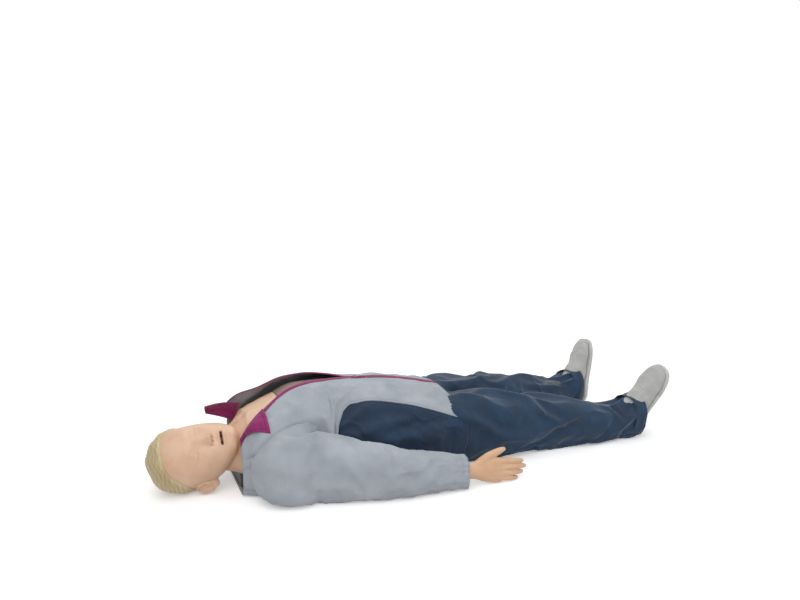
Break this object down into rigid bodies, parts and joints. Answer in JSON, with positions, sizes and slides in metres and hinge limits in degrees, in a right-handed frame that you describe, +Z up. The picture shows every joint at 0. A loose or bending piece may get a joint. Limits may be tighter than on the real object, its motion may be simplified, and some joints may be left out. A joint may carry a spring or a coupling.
{
  "type": "cpr training manikin",
  "caption": "Full-body adult CPR training manikin lying on its back in a zip jacket, trousers and shoes, with a turning head and a sprung chest.",
  "frame": {"origin": "centre of the footprint on the floor", "axes": "+X from the crown to the feet, +Y to the manikin's left, +Z up"},
  "size_m": [1.6262, 0.6583, 0.2843],
  "materials": {
    "jacket_grey": "brushed synthetic jacket cloth, light grey",
    "navy": "woven polyester twill, dark navy",
    "magenta": "magenta collar lining and zip tape",
    "shell_plastic": "moulded ABS",
    "steel": "zinc plated",
    "skin": "soft PVC skin, matt",
    "chest_skin": "soft PVC chest skin, mauve brown",
    "bag": "thin film bag",
    "hair": "moulded blond hair, matt",
    "shoe_cloth": "pale grey knit",
    "shoe_sole": "off-white sole"
  },
  "bodies": {
    "torso": {"jacket_back": "jacket_grey", "jacket_front_right": "jacket_grey", "jacket_front_left": "jacket_grey", "side_panel_right": "navy", "side_panel_left": "navy", "trouser_seat": "navy", "zip_tape_right": "magenta", "zip_tape_left": "magenta", "collar": "magenta", "back_shell": "shell_plastic", "pelvis_block": "shell_plastic", "neck_mount": "shell_plastic", "spring_guide": "shell_plastic", "shoulder_bolts": "steel", "hip_bolts": "steel", "waist_screws": "steel", "compression_spring": "steel", "upper_chest_skin": "skin"},
    "zip_slider": {"zip_slider": "steel"},
    "chest": {"chest_skin": "chest_skin", "lung_bag": "bag", "rib_plate": "shell_plastic", "plunger_rod": "steel"},
    "neck": {"neck_yoke": "shell_plastic", "neck_skin": "skin"},
    "head": {"face_mask": "skin", "moulded_hair": "hair", "skull": "shell_plastic", "mouthpiece": "shell_plastic", "tilt_pins": "steel"},
    "upper_arm_right": {"upper_sleeve_right": "jacket_grey", "upper_arm_right": "skin"},
    "forearm_right": {"forearm_hand_right": "skin", "elbow_pin_right": "steel", "lower_sleeve_right": "jacket_grey", "cuff_right": "jacket_grey"},
    "thigh_right": {"thigh_trouser_right": "navy", "thigh_core_right": "skin"},
    "shin_right": {"shin_trouser_right": "navy", "shin_core_right": "skin", "knee_pin_right": "steel", "shoe_upper_right": "shoe_cloth", "shoe_sole_right": "shoe_sole"},
    "upper_arm_left": {"upper_sleeve_left": "jacket_grey", "upper_arm_left": "skin"},
    "forearm_left": {"forearm_hand_left": "skin", "elbow_pin_left": "steel", "lower_sleeve_left": "jacket_grey", "cuff_left": "jacket_grey"},
    "thigh_left": {"thigh_trouser_left": "navy", "thigh_core_left": "skin"},
    "shin_left": {"shin_trouser_left": "navy", "shin_core_left": "skin", "knee_pin_left": "steel", "shoe_upper_left": "shoe_cloth", "shoe_sole_left": "shoe_sole"}
  },
  "joints": [
    {"name": "neck_turn", "type": "hinge", "parent": "torso", "child": "neck", "pos_m": [-0.67424, 0, 0.1012], "axis": [1, 0, 0], "range_deg": [-100, 15]},
    {"name": "head_tilt", "type": "hinge", "parent": "neck", "child": "head", "pos_m": [-0.67424, 0, 0.1012], "axis": [0, -0.7071, -0.7071], "range_deg": [0, 25]},
    {"name": "chest_compression", "type": "slide", "parent": "torso", "child": "chest", "axis": [0, 0, -1], "range_m": [0, 0.055], "stiffness_N_per_m": 9000, "springref_m": -0.002, "deforming": ["compression_spring"]},
    {"name": "zip_travel", "type": "slide", "parent": "torso", "child": "zip_slider", "axis": [0.9968, 0, -0.0802], "range_m": [0, 0.06]},
    {"name": "shoulder_right", "type": "hinge", "parent": "torso", "child": "upper_arm_right", "pos_m": [-0.46424, -0.165, 0.1], "axis": [0, -1, 0], "range_deg": [0, 90]},
    {"name": "elbow_right", "type": "hinge", "parent": "upper_arm_right", "child": "forearm_right", "pos_m": [-0.22462, -0.24985, 0.06969], "axis": [-0.1822, -0.9833, 0], "range_deg": [0, 90]},
    {"name": "hip_right", "type": "hinge", "parent": "torso", "child": "thigh_right", "pos_m": [-0.01424, -0.092, 0.098], "axis": [0, -1, 0], "range_deg": [0, 60], "deforming": ["thigh_trouser_right", "jacket_front_right", "side_panel_right"]},
    {"name": "knee_right", "type": "hinge", "parent": "thigh_right", "child": "shin_right", "pos_m": [0.36417, -0.12378, 0.08408], "axis": [0.0837, 0.9965, 0], "range_deg": [0, 90]},
    {"name": "shoulder_left", "type": "hinge", "parent": "torso", "child": "upper_arm_left", "pos_m": [-0.46424, 0.165, 0.1], "axis": [0, -1, 0], "range_deg": [0, 90]},
    {"name": "elbow_left", "type": "hinge", "parent": "upper_arm_left", "child": "forearm_left", "pos_m": [-0.22462, 0.24985, 0.06969], "axis": [0.1822, -0.9833, 0], "range_deg": [0, 90]},
    {"name": "hip_left", "type": "hinge", "parent": "torso", "child": "thigh_left", "pos_m": [-0.01424, 0.092, 0.098], "axis": [0, -1, 0], "range_deg": [0, 60], "deforming": ["thigh_trouser_left", "jacket_front_left", "side_panel_left"]},
    {"name": "knee_left", "type": "hinge", "parent": "thigh_left", "child": "shin_left", "pos_m": [0.36417, 0.12378, 0.08408], "axis": [-0.0837, 0.9965, 0], "range_deg": [0, 90]}
  ]
}
